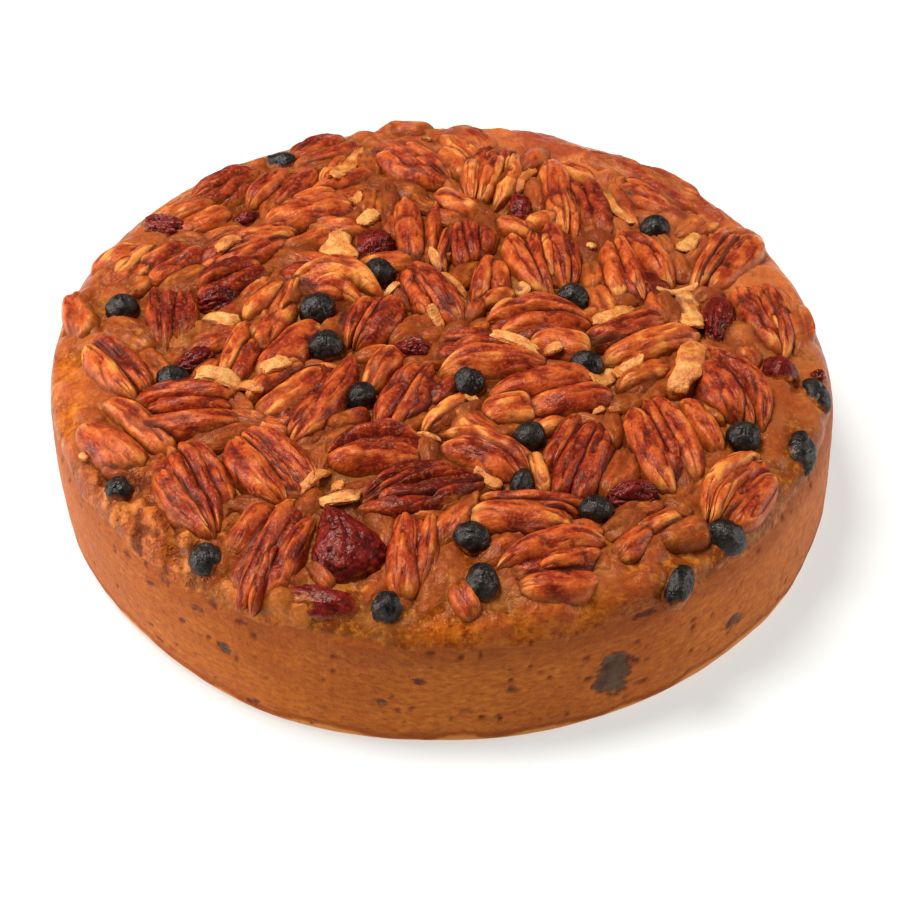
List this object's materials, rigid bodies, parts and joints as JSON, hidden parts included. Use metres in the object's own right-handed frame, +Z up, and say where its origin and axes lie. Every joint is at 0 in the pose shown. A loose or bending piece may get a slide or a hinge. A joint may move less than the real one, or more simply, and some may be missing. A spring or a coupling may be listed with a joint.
{
  "type": "fruit cake",
  "caption": "Round uncut fruit cake with a glossy baked top set with pecan halves, dark berries and dried red fruit, and a matte brown side.",
  "frame": {"origin": "centre of the cake's flat bottom", "axes": "+Z up through the middle of the cake, +Y towards its back, +X to the right as seen from the front"},
  "size_m": [0.2, 0.2, 0.0468],
  "materials": {
    "baked_crust": "baked crumb and glaze, satin on top and matte at the side",
    "pecan": "toasted nut under a thin glaze, satin",
    "dark_berry": "dried berry skin, soft sheen",
    "red_fruit": "dried fruit skin, glossy"
  },
  "bodies": {
    "root": {"cake": "baked_crust", "pecan_01": "pecan", "pecan_02": "pecan", "pecan_03": "pecan", "pecan_04": "pecan", "pecan_05": "pecan", "pecan_06": "pecan", "pecan_07": "pecan", "pecan_08": "pecan", "pecan_09": "pecan", "pecan_10": "pecan", "pecan_11": "pecan", "pecan_12": "pecan", "pecan_13": "pecan", "pecan_14": "pecan", "pecan_15": "pecan", "pecan_16": "pecan", "pecan_17": "pecan", "pecan_18": "pecan", "pecan_19": "pecan", "pecan_20": "pecan", "pecan_21": "pecan", "pecan_22": "pecan", "pecan_23": "pecan", "pecan_24": "pecan", "pecan_25": "pecan", "pecan_26": "pecan", "pecan_27": "pecan", "pecan_28": "pecan", "pecan_29": "pecan", "pecan_30": "pecan", "pecan_31": "pecan", "pecan_32": "pecan", "pecan_33": "pecan", "pecan_34": "pecan", "berry_01": "dark_berry", "berry_02": "dark_berry", "berry_03": "dark_berry", "berry_04": "dark_berry", "berry_05": "dark_berry", "berry_06": "dark_berry", "berry_07": "dark_berry", "berry_08": "dark_berry", "berry_09": "dark_berry", "berry_10": "dark_berry", "berry_11": "dark_berry", "berry_12": "dark_berry", "berry_13": "dark_berry", "berry_14": "dark_berry", "berry_15": "dark_berry", "berry_16": "dark_berry", "berry_17": "dark_berry", "red_fruit_01": "red_fruit", "red_fruit_02": "red_fruit", "red_fruit_03": "red_fruit", "red_fruit_04": "red_fruit", "red_fruit_05": "red_fruit", "red_fruit_06": "red_fruit", "red_fruit_07": "red_fruit", "red_fruit_08": "red_fruit"}
  },
  "joints": []
}
